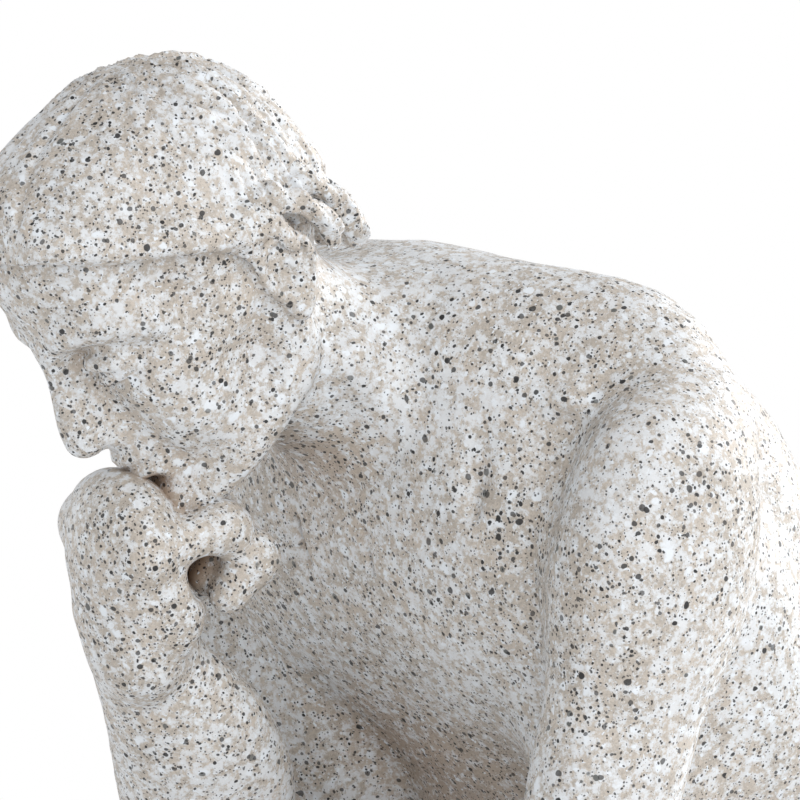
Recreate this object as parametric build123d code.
"""A seated, pensive figure in cast stone, on a plain seat block and plinth, about 33 cm tall.

The figure is cast in five sections that are pinned and bonded together, and a tie rod draws them
down on the block and the plinth. It faces -Y and its left side is +X. The origin is the middle of
the resting face. Lengths are in millimetres, and the figure's proportions are shares of its head.
"""
from build123d import *
from math import cos, pi, radians, sin
import os

# The figure's own driving dimensions
head_length = 60.0  # from chin to crown, the unit of every share below
head_pitch = 35.0  # degrees that the face looks down
head_turn = 8.0  # degrees that the face turns to the figure's right
cloth_thickness = 3.0
fold_depth = 3.2

# The plinth, the block and the pads
plinth_width = 160.0
plinth_depth = 204.0
plinth_thickness = 22.0
plinth_chamfer = 2.5
block_width = 96.0
block_depth = 112.0
block_wall = 8.0
block_lid = 12.0
block_edge = 1.5
pad_diameter = 24.0
pad_thickness = 2.5
pad_inset = 22.0  # from the plinth's edge to the middle of a pad

# The tie rod and its fittings
rod_diameter = 8.0
rod_clearance = 0.25
rod_chamfer = 1.0
rod_in_anchor = 18.0
rod_past_nut = 2.0
anchor_wall = 3.0
anchor_length = 24.0
anchor_fit = 0.05
washer_diameter = 24.0
washer_thickness = 1.6
nut_across_flats = 13.0
nut_height = 6.5
thread_fit = 0.05
recess_diameter = 34.0
recess_headroom = 1.2
cover_diameter = 40.0
cover_thickness = 2.4
cover_fit = 0.3

# The dowel pins between the castings
pin_diameter = 4.0
pin_chamfer = 0.5
pin_fit = 0.1
pin_end_room = 0.4
neck_pin_length = 32.0
shoulder_pin_length = 26.0
waist_pin_length = 24.0
waist_pin_spacing = 54.0
seat_pin_length = 18.0
seat_pin_depth = 8.0  # in the block's lid
seat_pin_spacing = 48.0
block_pin_length = 16.0

# Every place below is in head lengths: across to the figure's left, back, and up from the plinth.
# A mass is an ellipsoid: its middle, its half width, half depth and half height, and its upright.
# A section of a limb is a place, a half width and a half depth; the trunk's has a dip at the spine too.

# Landmarks
shoulder_shares = (0.86, -0.20, 4.07)
right_elbow_shares = (-0.54, -0.25, 2.68)
right_wrist_shares = (-0.09, -0.985, 3.565)
left_elbow_shares = (0.70, -0.42, 2.62)
left_wrist_shares = (-0.22, -0.66, 2.84)
head_middle_shares = (0.0, -0.87, 4.50)
waist_shares = (0.0, 0.74, 2.84)
spine_aim_shares = (0.0, -0.40, 0.92)
seat_height_share = 1.90
seat_middle_share = 0.60
rod_back_share = 0.86
neck_pin_shares = (0.0, -0.24, 4.22)
shoulder_pin_shares = (0.72, -0.17, 4.07)
seat_pin_back_share = 0.20

# The torso
trunk_shares = (
    (0.0, 0.88, 2.52, 0.57, 0.44, 0.03),
    (0.0, 0.74, 2.84, 0.55, 0.42, 0.06),
    (0.0, 0.57, 3.14, 0.59, 0.45, 0.12),
    (0.0, 0.37, 3.44, 0.69, 0.49, 0.16),
    (0.0, 0.16, 3.75, 0.80, 0.51, 0.18),
    (0.0, -0.04, 4.02, 0.86, 0.46, 0.16),
    (0.0, -0.18, 4.22, 0.74, 0.35, 0.05),
    (0.0, -0.29, 4.38, 0.44, 0.22, 0.02),
)
trunk_fullness = 0.80
flank_shares = ((0.50, 0.0, 3.38), (0.18, 0.26, 0.42), (0.10, -0.30, 0.95))
chest_shares = ((0.40, -0.21, 3.78), (0.43, 0.19, 0.33), (0.10, -0.40, 0.92))
blade_shares = ((0.43, 0.27, 3.98), (0.34, 0.22, 0.43), (0.10, -0.45, 0.89))
collar_shares = ((0.02, -0.30, 4.33), (1.0, -0.08, 4.15), 0.24, 0.17)
hollow_shares = ((0.0, 0.86, 2.56), (0.0, 0.14, 3.88), 0.42, 0.28)

# The head, in its own directions: to its left, forward and up from between the ears, all scaled alike
head_scale_share = 0.93
neck_shares = (
    (0.0, -0.06, 4.10, 0.31, 0.24),
    (0.0, -0.26, 4.24, 0.30, 0.29),
    (0.0, -0.50, 4.36, 0.28, 0.29),
    (0.0, -0.78, 4.46, 0.22, 0.24),
)
skull_shares = ((0.0, -0.02, 0.15), (0.335, 0.43, 0.39))
face_shares = ((0.0, 0.16, -0.11), (0.255, 0.27, 0.34))
brow_shares = ((0.0, 0.33, 0.13), (0.21, 0.11, 0.07))
chin_shares = ((0.0, 0.34, -0.36), (0.12, 0.09, 0.09))
mouth_shares = ((0.0, 0.37, -0.24), (0.13, 0.08, 0.07))
nose_shares = ((0.0, 0.36, 0.14), (0.0, 0.50, -0.14), 0.055, 0.065)
jaw_shares = ((0.24, -0.05, -0.10), (0.02, 0.42, -0.40), 0.09, 0.10)
cheek_shares = ((0.16, 0.20, -0.04), (0.12, 0.16, 0.10))
ear_shares = ((0.31, -0.09, 0.0), (0.05, 0.08, 0.12))
hair_shares = ((0.0, -0.05, 0.17), (0.36, 0.46, 0.40))
hair_edge_share = 0.09
hair_edge_lean_share = 0.70

# The arms, in sections along the way from joint to joint, and the hands
upper_arm_shares = (
    (0.0, 0.20, 0.24), (0.25, 0.20, 0.24), (0.55, 0.175, 0.205), (0.85, 0.15, 0.165), (1.0, 0.12, 0.13),
)
forearm_shares = (
    (0.0, 0.12, 0.13), (0.25, 0.21, 0.20), (0.55, 0.19, 0.17), (0.85, 0.145, 0.12), (1.0, 0.13, 0.10),
)
shoulder_cap_shares = (-0.21, 0.44, 0.26, 0.29)
elbow_mass_shares = (0.17, 0.18, 0.165)
finger_half_share = 0.06
finger_overlap_share = 0.048
fist_rise_shares = (0.10, -0.25, 0.96)
fist_palmward_shares = (0.15, 0.95, 0.23)
fist_shares = ((0.0, 0.0, -0.10), (0.0, 0.02, 0.44), 0.20, 0.10)
fist_row_shares = ((0.14, 0.34, 0.27), (0.05, 0.36, 0.28), (-0.045, 0.35, 0.27), (-0.135, 0.32, 0.24))
fist_curl_shares = (-0.04, 0.25, 0.058, 0.085)
fist_thumb_shares = ((0.15, 0.04, 0.04), (0.12, 0.26, 0.24), 0.063, 0.072)
palm_shares = ((0.12, 0.0, 0.0), (-0.44, 0.02, 0.04), 0.20, 0.09)
finger_row_shares = ((0.03, 0.0, 0.19), (0.0, 0.0, 0.09), (0.03, 0.0, -0.01), (0.06, 0.0, -0.11))
finger_bend_shares = ((-0.32, 0.0, 0.0), (-0.53, 0.12, 0.02), (-0.50, 0.32, 0.05))
thumb_shares = ((-0.06, 0.0, 0.10), (-0.16, 0.02, 0.25), (-0.32, 0.06, 0.33))

# The hips, legs and feet
pelvis_shares = (
    (0.0, 0.95, 2.20, 0.60, 0.46),
    (0.0, 0.86, 2.54, 0.60, 0.47),
    (0.0, 0.83, 2.61, 0.61, 0.48),
    (0.0, 0.81, 2.66, 0.645, 0.515),
    (0.0, 0.785, 2.72, 0.66, 0.53),
    (0.0, 0.76, 2.78, 0.645, 0.515),
    (0.0, 0.745, 2.82, 0.60, 0.46),
    (0.0, 0.66, 3.02, 0.55, 0.43),
)
buttock_shares = ((0.34, 1.04, 2.22), (0.38, 0.42, 0.38), (0.0, 0.0, 1.0))
knee_shares = ((0.54, -0.76, 2.12), (0.30, 0.34, 0.31), (0.0, 0.0, 1.0))
shin_shares = (
    (0.55, -0.74, 1.60, 0.24, 0.27),
    (0.53, -0.70, 1.10, 0.20, 0.22),
    (0.51, -0.66, 0.60, 0.13, 0.15),
    (0.50, -0.64, 0.28, 0.13, 0.16),
)
foot_shares = (
    (0.49, -0.44, 0.14, 0.13, 0.15),
    (0.50, -0.66, 0.17, 0.15, 0.22),
    (0.52, -0.95, 0.15, 0.18, 0.18),
    (0.55, -1.28, 0.08, 0.22, 0.12),
    (0.56, -1.52, 0.04, 0.18, 0.09),
)

# The cloth: the lap's sections run back, up, half width, half height and the dip between the thighs
lap_shares = (
    (1.36, 2.22, 0.44, 0.22, 0.02),
    (1.08, 2.24, 0.72, 0.42, 0.06),
    (0.72, 2.24, 0.85, 0.42, 0.12),
    (0.10, 2.20, 0.88, 0.44, 0.20),
    (-0.45, 2.15, 0.86, 0.40, 0.32),
    (-0.74, 2.12, 0.82, 0.32, 0.42),
)
lap_fullness = 0.55
section_point_count = 24
dip_sharpness = 10
skirt_shares = (
    (0.55, -0.80, 2.12, 0.31, 0.32),
    (0.55, -0.78, 1.85, 0.32, 0.35),
    (0.55, -0.75, 1.55, 0.31, 0.34),
    (0.55, -0.74, 1.28, 0.33, 0.35),
)
seat_cloth_shares = (1.50, 0.55)
fall_shares = ((0.0, 0.78, 0.66), (1.28, 0.80, 0.66), (1.90, 0.84, 0.62), (2.20, 0.92, 0.42))
fall_fold_count = 4
drape_shares = {-1: ((1.25, 0.80), (1.60, 0.92)), 1: ((0.80, 0.80), (1.50, 0.92))}
drape_top_share = 1.10
drape_back_share = 0.62
drape_fold_count = 5

# Levels and places that follow from the sizes above
plinth_top = pad_thickness + plinth_thickness
seat_top = plinth_top + seat_height_share * head_length
block_middle = seat_middle_share * head_length
block_front = block_middle - block_depth / 2
rod_back = rod_back_share * head_length
rod_low = pad_thickness + cover_thickness + recess_headroom
nut_low = rod_low + rod_past_nut
washer_low = nut_low + nut_height
recess_top = washer_low + washer_thickness
anchor_diameter = rod_diameter + 2 * anchor_wall
hole_diameter = rod_diameter + 2 * rod_clearance
thread_diameter = rod_diameter + 2 * thread_fit
beyond = 2 * (plinth_depth + seat_top)  # longer than the whole figure
upright = (0, 0, 1)
leftward = (1, 0, 0)
from_low = (Align.CENTER, Align.CENTER, Align.MIN)
from_high = (Align.CENTER, Align.CENTER, Align.MAX)


def place(shares):
    """The point that three shares name."""
    across, back, up = shares
    return Vector(across * head_length, back * head_length, plinth_top + up * head_length)


def mirrored(shares, side):
    """The same shares on the figure's left, side 1, or on its right, side -1."""
    return (shares[0] * side, *shares[1:])


def along(start, end, share):
    """The shares of a point part of the way from one to another."""
    return tuple(a + (b - a) * share for a, b in zip(start, end))


def shifted(shares, *offsets):
    """Shares with one or more offsets added."""
    return tuple(sum(values) for values in zip(shares, *offsets))


def aim_from(start, end):
    """The direction from one set of shares to another."""
    return Vector(*end) - Vector(*start)


def facing(middle, aim, across=leftward):
    """A plane at a point, whose normal is aim and whose x direction is across, made square to it."""
    normal = Vector(*aim).normalized()
    sideways = Vector(*across)
    return Plane(origin=middle, x_dir=sideways - normal * sideways.dot(normal), z_dir=normal)


def egg(middle, halves, aim=upright, across=leftward):
    """An ellipsoid whose first half size lies along across and its third along aim."""
    return facing(place(middle), aim, across).location * scale(Sphere(head_length), by=halves)


def mass(shares, side=1):
    """An ellipsoid from a table of its middle, its half sizes and its upright."""
    middle, halves, aim = shares
    return egg(mirrored(middle, side), halves, mirrored(aim, side))


def muscle(start, end, half_width, half_depth, across=leftward):
    """An ellipsoid that spans two points, its half width along across."""
    aim = aim_from(start, end)
    return egg(along(start, end, 0.5), (half_width, half_depth, aim.length / 2), aim, across)


def limb(stations, side=1, ruled=False):
    """A loft through elliptical sections that stand square to the limb's line."""
    stations = [mirrored(station, side) for station in stations]
    sections = []
    for i, station in enumerate(stations):
        behind, ahead = stations[max(i - 1, 0)], stations[min(i + 1, len(stations) - 1)]
        plane = facing(place(station[:3]), aim_from(behind[:3], ahead[:3]))
        sections.append(plane * Ellipse(station[3] * head_length, station[4] * head_length))
    return loft(sections, ruled=ruled)


def full_section(plane, half_width, half_depth, dip, fullness):
    """A closed outline that is fuller than an ellipse and dips in the middle of its +Y side."""
    outline = []
    for i in range(section_point_count):
        angle = 2 * pi * i / section_point_count
        rise = abs(sin(angle)) ** fullness
        rise = rise * (1 - dip * sin(angle) ** dip_sharpness) if i < section_point_count / 2 else -rise
        outline.append((half_width * head_length * cos(angle), half_depth * head_length * rise))
    return plane * make_face(Spline(*outline, periodic=True))


def joined(shapes):
    """One solid of several that overlap."""
    return shapes[0].fuse(*shapes[1:])


def slab(width, depth, low, high, middle_back=0):
    """An upright block between two levels, centred across."""
    return Pos(0, middle_back, low) * Box(width, depth, high - low, align=from_low)


def bar(low, direction, length, diameter, chamfered=0):
    """A round bar that starts at a point and runs in a direction."""
    shape = Cylinder(diameter / 2, length, align=from_low)
    if chamfered:
        shape = chamfer(shape.edges().filter_by(GeomType.CIRCLE), chamfered)
    return Plane(origin=low, z_dir=direction).location * shape


def pin_and_socket(middle, direction, length):
    """A dowel pin centred on a point, and the room that its two sockets take."""
    aim = Vector(*direction).normalized()
    socket_length = length + 2 * pin_end_room
    pin = bar(middle - aim * (length / 2), aim, length, pin_diameter, pin_chamfer)
    socket = bar(middle - aim * (socket_length / 2), aim, socket_length, pin_diameter + 2 * pin_fit)
    return pin, socket


# The head's own directions: to its left, forward and up
turn, pitch = radians(head_turn), radians(head_pitch)
head_forward = Vector(-sin(turn) * cos(pitch), -cos(turn) * cos(pitch), -sin(pitch))
head_up = Vector(-sin(turn) * sin(pitch), -cos(turn) * sin(pitch), cos(pitch))
head_left = head_forward.cross(head_up)


def on_head(shares, side=1):
    """The shares of a point that is given in the head's own directions."""
    left, forward, up = (share * head_scale_share for share in mirrored(shares, side))
    return shifted(head_middle_shares, tuple(head_left * left + head_forward * forward + head_up * up))


def head_mass(shares, side=1):
    """An ellipsoid in the head's own directions, from a table of its middle and half sizes."""
    middle, halves = shares
    return egg(on_head(middle, side), tuple(half * head_scale_share for half in halves), head_up, head_left)


def head_muscle(shares, side=1):
    """An ellipsoid between two points of the head."""
    start, end, *halves = shares
    half_width, half_depth = (half * head_scale_share for half in halves)
    return muscle(on_head(start, side), on_head(end, side), half_width, half_depth, head_left)


def make_hair():
    """A close cap of hair, cut off along its edge from the forehead to the nape."""
    edge = facing(place(on_head((0, 0, hair_edge_share))), head_up - head_forward * hair_edge_lean_share, head_left)
    return head_mass(hair_shares) - edge.location * Box(beyond, beyond, beyond, align=from_high)


def make_head(torso):
    """Neck, skull, a plain face, hair and ears, with the neck seated on the torso."""
    shapes = [head_mass(shares) for shares in (skull_shares, face_shares, brow_shares, chin_shares, mouth_shares)]
    shapes += [head_muscle(nose_shares), limb(neck_shares) - torso, make_hair()]
    for side in (-1, 1):
        shapes.append(head_muscle(jaw_shares, side))
        shapes.append(head_mass(cheek_shares, side))
        shapes.append(head_mass(ear_shares, side))
    return joined(shapes)


def below_waist():
    """All that lies below the joint at the waist."""
    waist = facing(place(waist_shares), spine_aim_shares)
    return waist.location * Box(beyond, beyond, beyond, align=from_high)


def make_trunk():
    """Chest, back and waist as one swelling form, grooved down the spine."""
    sections = []
    for i, station in enumerate(trunk_shares):
        behind, ahead = trunk_shares[max(i - 1, 0)], trunk_shares[min(i + 1, len(trunk_shares) - 1)]
        plane = facing(place(station[:3]), aim_from(behind[:3], ahead[:3]))
        sections.append(full_section(plane, *station[3:], trunk_fullness))
    return loft(sections)


def make_torso():
    """Chest, back and shoulder girdle down to the waist, with a hollow that opens below."""
    shapes = [make_trunk()]
    neck_end, shoulder_end, half_width, half_depth = collar_shares
    for side in (-1, 1):
        shapes += [mass(flank_shares, side), mass(chest_shares, side), mass(blade_shares, side)]
        ends = mirrored(neck_end, side), mirrored(shoulder_end, side)
        shapes.append(muscle(*ends, half_width, half_depth, (0, 1, 0)))
    return joined(shapes) - below_waist() - muscle(*hollow_shares)


def make_arm(shoulder, elbow, wrist, torso):
    """The solids of an upper arm, seated on the torso, an elbow and a forearm."""
    cap_start, cap_end, half_width, half_depth = shoulder_cap_shares
    cap = muscle(along(shoulder, elbow, cap_start), along(shoulder, elbow, cap_end), half_width, half_depth)
    upper_arm = limb([(*along(shoulder, elbow, share), *halves) for share, *halves in upper_arm_shares])
    forearm = limb([(*along(elbow, wrist, share), *halves) for share, *halves in forearm_shares])
    return [joined([upper_arm, cap]) - torso, forearm, egg(elbow, elbow_mass_shares)]


def finger(points, across):
    """The solids of a finger: an ellipsoid for each stretch between its joints."""
    shapes = []
    for start, end in zip(points, points[1:]):
        over = aim_from(start, end).normalized() * finger_overlap_share
        ends = shifted(start, tuple(-over)), shifted(end, tuple(over))
        shapes.append(muscle(*ends, finger_half_share, finger_half_share, across))
    return shapes


def make_right_arm(torso):
    """The arm that props the chin on a loose fist."""
    rise = Vector(*fist_rise_shares).normalized()
    palmward = Vector(*fist_palmward_shares).normalized()
    thumbward = rise.cross(palmward)

    def on_hand(across, palm, up):
        return shifted(right_wrist_shares, tuple(thumbward * across + palmward * palm + rise * up))

    low, high, half_width, half_depth = fist_shares
    shapes = make_arm(mirrored(shoulder_shares, -1), right_elbow_shares, right_wrist_shares, torso)
    shapes.append(muscle(on_hand(*low), on_hand(*high), half_width, half_depth, thumbward))
    back, front, half_width, half_depth = fist_curl_shares
    for across, back_up, front_up in fist_row_shares:
        ends = on_hand(across, back, back_up), on_hand(across, front, front_up)
        shapes.append(muscle(*ends, half_width, half_depth, thumbward))
    low, high, half_width, half_depth = fist_thumb_shares
    shapes.append(muscle(on_hand(*low), on_hand(*high), half_width, half_depth, thumbward))
    return joined(shapes)


def make_left_arm(torso):
    """The arm that lies across the lap, its hand over the other forearm."""
    wrist = left_wrist_shares
    start, end, half_width, half_depth = palm_shares
    shapes = make_arm(shoulder_shares, left_elbow_shares, wrist, torso)
    shapes.append(muscle(shifted(wrist, start), shifted(wrist, end), half_width, half_depth, upright))
    for row in finger_row_shares:
        shapes += finger([shifted(wrist, joint, row) for joint in finger_bend_shares], upright)
    return joined(shapes + finger([shifted(wrist, joint) for joint in thumb_shares], upright))


def make_lap():
    """The cloth over the hips and thighs: full above, and dipping between the thighs."""
    sections = []
    for back, up, half_width, half_height, dip in lap_shares:
        plane = Plane(origin=place((0, back, up)), x_dir=leftward, z_dir=(0, -1, 0))
        sections.append(full_section(plane, half_width, half_height, dip, lap_fullness))
    return loft(sections)


def hanging_cloth(foot, aim, out, profiles, folds):
    """Cloth that hangs flat against what is behind it: a loft through profiles with a folded front.

    foot is the middle of its back edge, aim its direction along that edge and out its outward one.
    A profile is its level, its width and its depth.
    """
    sections = []
    steps = 2 * folds
    for level, width, depth in profiles:
        plane = Plane(origin=(*foot, level), x_dir=aim, z_dir=Vector(*aim).cross(Vector(*out)))
        front = [(width * (i / steps - 0.5), depth + fold_depth * cos(pi * i) / 2) for i in range(steps + 1)]
        back = Polyline(front[-1], (width / 2, 0), (-width / 2, 0), front[0])
        sections.append(plane * make_face(Spline(*front) + back))
    return loft(sections)


def make_fall():
    """The cloth that falls in folds from the lap to the plinth, between the shins."""
    profiles = [
        (plinth_top + up * head_length, width * head_length, depth * head_length)
        for up, width, depth in fall_shares
    ]
    return hanging_cloth((0, block_front), leftward, (0, -1, 0), profiles, fall_fold_count)


def make_drape(side):
    """The cloth that hangs over one side of the block."""
    depth = cloth_thickness + fold_depth / 2
    profiles = [(plinth_top + up * head_length, width * head_length, depth) for up, width in drape_shares[side]]
    profiles.append((seat_top + cloth_thickness, drape_top_share * head_length, depth))
    foot = (side * block_width / 2, drape_back_share * head_length)
    return hanging_cloth(foot, (0, 1, 0), (side, 0, 0), profiles, drape_fold_count)


def make_lower_body():
    """Hips, legs and feet, with a cloth wrapped round the waist, seated on the block and the plinth."""
    cloth_depth, cloth_middle = (share * head_length for share in seat_cloth_shares)
    pelvis = limb(pelvis_shares, ruled=True) & below_waist()
    hips = joined([make_lap(), pelvis, mass(buttock_shares, -1), mass(buttock_shares, 1)])
    seat_cloth = slab(
        block_width + 2 * cloth_thickness, cloth_depth, seat_top, seat_top + cloth_thickness, cloth_middle
    )
    shapes = [hips, seat_cloth, make_fall()]
    for side in (-1, 1):
        shapes += [mass(knee_shares, side), limb(skirt_shares, side), limb(shin_shares, side)]
        shapes += [limb(foot_shares, side), make_drape(side)]
    below_floor = slab(beyond, beyond, plinth_top - beyond, plinth_top)
    seat = slab(block_width, block_depth, plinth_top, seat_top, block_middle)
    anchor_room = bar(
        (0, rod_back, seat_top), upright, anchor_length + anchor_fit, anchor_diameter + 2 * anchor_fit
    )
    return joined(shapes).cut(below_floor, seat, anchor_room)


def make_plinth():
    """The plinth, with the recess for the nut and its cover and the hole for the tie rod."""
    shape = slab(plinth_width, plinth_depth, pad_thickness, plinth_top)
    shape = chamfer(shape.edges().group_by(Axis.Z)[-1], plinth_chamfer)
    low = (0, rod_back, pad_thickness)
    shape -= bar(low, upright, plinth_thickness, hole_diameter)
    shape -= bar(low, upright, recess_top - pad_thickness, recess_diameter)
    return shape - bar(low, upright, cover_thickness, cover_diameter)


def make_block():
    """The hollow seat block, open underneath, with a hole in its lid for the tie rod."""
    shape = slab(block_width, block_depth, plinth_top, seat_top, block_middle)
    shape = chamfer(shape.edges().filter_by(Axis.Z), block_edge)
    inner_width, inner_depth = block_width - 2 * block_wall, block_depth - 2 * block_wall
    hollow = slab(inner_width, inner_depth, plinth_top, seat_top - block_lid, block_middle)
    return shape - hollow - bar((0, rod_back, plinth_top), upright, seat_top - plinth_top, hole_diameter)


def make_fittings():
    """The tie rod, its anchor, washer, nut and cover."""
    rod_top = seat_top + rod_in_anchor
    anchor = bar((0, rod_back, seat_top), upright, anchor_length, anchor_diameter)
    anchor -= bar((0, rod_back, seat_top), upright, rod_in_anchor + pin_end_room, thread_diameter)
    washer = bar((0, rod_back, washer_low), upright, washer_thickness, washer_diameter)
    washer -= bar((0, rod_back, washer_low), upright, washer_thickness, hole_diameter)
    nut_outline = RegularPolygon(nut_across_flats / 2, 6, major_radius=False)
    nut = Pos(0, rod_back, nut_low) * extrude(nut_outline, nut_height)
    nut -= bar((0, rod_back, nut_low), upright, nut_height, thread_diameter)
    cover_outer = cover_diameter - 2 * cover_fit
    return {
        "tie_rod": bar((0, rod_back, rod_low), upright, rod_top - rod_low, rod_diameter, rod_chamfer),
        "rod_anchor": anchor,
        "rod_washer": washer,
        "rod_nut": nut,
        "recess_cover": bar((0, rod_back, pad_thickness), upright, cover_thickness, cover_outer),
    }


def make_pads():
    """Four felt pads near the plinth's corners."""
    pads = {}
    for back, row in ((-1, "front"), (1, "rear")):
        for side, name in ((-1, "right"), (1, "left")):
            corner = (side * (plinth_width / 2 - pad_inset), back * (plinth_depth / 2 - pad_inset), 0)
            pads[f"{row}_{name}_pad"] = bar(corner, upright, pad_thickness, pad_diameter)
    return pads


def make_pins():
    """Every dowel pin by name: the two pieces that it joins, its solid and the room of its sockets."""
    neck_aim = aim_from(neck_shares[0][:3], neck_shares[2][:3])
    pins = {"neck_pin": ("head", "torso", *pin_and_socket(place(neck_pin_shares), neck_aim, neck_pin_length))}
    seat_pin_middle = seat_top + seat_pin_length / 2 - seat_pin_depth
    for side, name in ((-1, "right"), (1, "left")):
        arm = place(mirrored(shoulder_pin_shares, side))
        waist = place(waist_shares) + Vector(side * waist_pin_spacing / 2, 0, 0)
        thigh = Vector(side * seat_pin_spacing / 2, seat_pin_back_share * head_length, seat_pin_middle)
        arm_pin = pin_and_socket(arm, (side, 0, 0), shoulder_pin_length)
        pins[f"{name}_shoulder_pin"] = (f"{name}_arm", "torso", *arm_pin)
        pins[f"{name}_waist_pin"] = ("torso", "lower_body", *pin_and_socket(waist, spine_aim_shares, waist_pin_length))
        pins[f"{name}_seat_pin"] = ("lower_body", "seat_block", *pin_and_socket(thigh, upright, seat_pin_length))
    for back, name in ((-1, "front"), (1, "rear")):
        wall = Vector(0, block_middle + back * (block_depth - block_wall) / 2, plinth_top)
        pins[f"{name}_block_pin"] = ("seat_block", "plinth", *pin_and_socket(wall, upright, block_pin_length))
    return pins


def largest(shape):
    """The largest solid of a cut shape, without the crumbs beside it."""
    return max(shape.solids(), key=lambda solid: solid.volume)


def make_castings():
    """The figure's five castings, the block and the plinth, each seated on its neighbours."""
    torso, lap = make_torso(), make_lap()
    head = make_head(torso)
    right_arm = largest(make_right_arm(torso) - head - lap)
    return {
        "plinth": make_plinth(),
        "seat_block": make_block(),
        "lower_body": make_lower_body(),
        "torso": torso,
        "head": head,
        "right_arm": right_arm,
        "left_arm": largest(make_left_arm(torso) - right_arm - lap),
    }


def make_statue():
    """Every node by name."""
    castings, pins = make_castings(), make_pins()
    for name, casting in castings.items():
        sockets = [socket for first, second, pin, socket in pins.values() if name in (first, second)]
        castings[name] = largest(casting.cut(*sockets))
    return {**castings, **{name: row[2] for name, row in pins.items()}, **make_fittings(), **make_pads()}


os.makedirs("parts", exist_ok=True)
for name, shape in make_statue().items():
    export_step(Compound(children=list(shape.solids())), f"parts/{name}.step")
